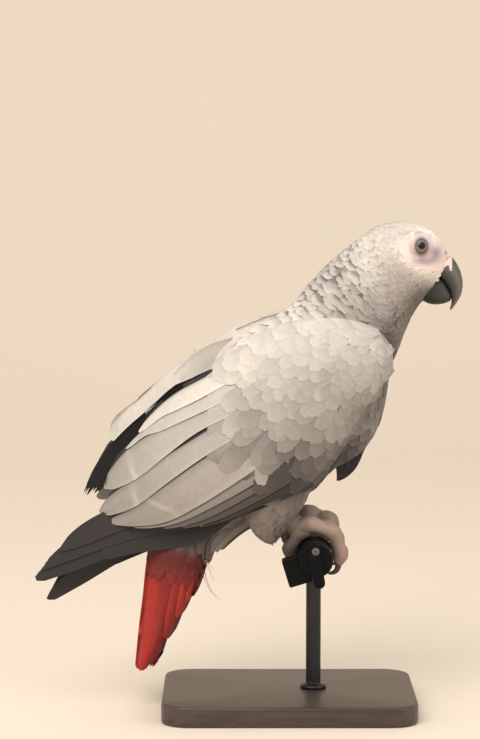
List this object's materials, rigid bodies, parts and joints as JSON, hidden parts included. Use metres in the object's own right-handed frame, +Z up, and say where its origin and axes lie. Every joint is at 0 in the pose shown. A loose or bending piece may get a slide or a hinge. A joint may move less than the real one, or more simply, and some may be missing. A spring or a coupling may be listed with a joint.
{
  "type": "grey parrot display model",
  "caption": "Life-size still model of a perched grey parrot with a red tail, gripping a short black bar on a plain display stand.",
  "frame": {"origin": "centre of the underside of the stand's base, on the surface that it stands on", "axes": "+Z up, +X the way the bird faces, +Y to the bird's left"},
  "size_m": [0.2566, 0.112, 0.2953],
  "materials": {
    "head_feathers": "small matt pale grey feathers with darker scalloped edges",
    "body_feathers": "soft matt grey feathers with paler edges",
    "thigh_feathers": "fluffy matt beige-grey feathers",
    "wing_feathers": "satin pale grey vanes with fine barbs",
    "flight_feathers": "satin dark brown-grey vanes with fine barbs",
    "tail_feathers": "satin red vanes with darker shafts",
    "bare_skin": "bare pinkish white powdery skin with fine folds",
    "eye": "moist, clear, pale grey iris with a black pupil",
    "bill_horn": "black horn, satin gloss, powdery grey bloom",
    "claw_horn": "black horn, satin gloss",
    "foot_skin": "grey-brown scaly skin",
    "perch_black": "black moulded plastic, satin",
    "stand_metal": "black painted steel, satin",
    "stand_wood": "black stained wood, satin varnish"
  },
  "bodies": {
    "root": {"head": "head_feathers", "cere": "bare_skin", "neck": "head_feathers", "trunk": "body_feathers", "upper_bill": "bill_horn", "lower_bill": "bill_horn", "wing_right": "wing_feathers", "primaries_right": "flight_feathers", "eye_right": "eye", "wing_left": "wing_feathers", "primaries_left": "flight_feathers", "eye_left": "eye", "tail": "tail_feathers", "perch_bar": "perch_black", "perch_clamp": "perch_black", "perch_lever": "perch_black", "stand_rod": "stand_metal", "stand_base": "stand_wood", "thigh_right": "thigh_feathers", "foot_right": "foot_skin", "claw_right_1": "claw_horn", "claw_right_2": "claw_horn", "claw_right_3": "claw_horn", "claw_right_4": "claw_horn", "thigh_left": "thigh_feathers", "foot_left": "foot_skin", "claw_left_1": "claw_horn", "claw_left_2": "claw_horn", "claw_left_3": "claw_horn", "claw_left_4": "claw_horn"}
  },
  "joints": []
}
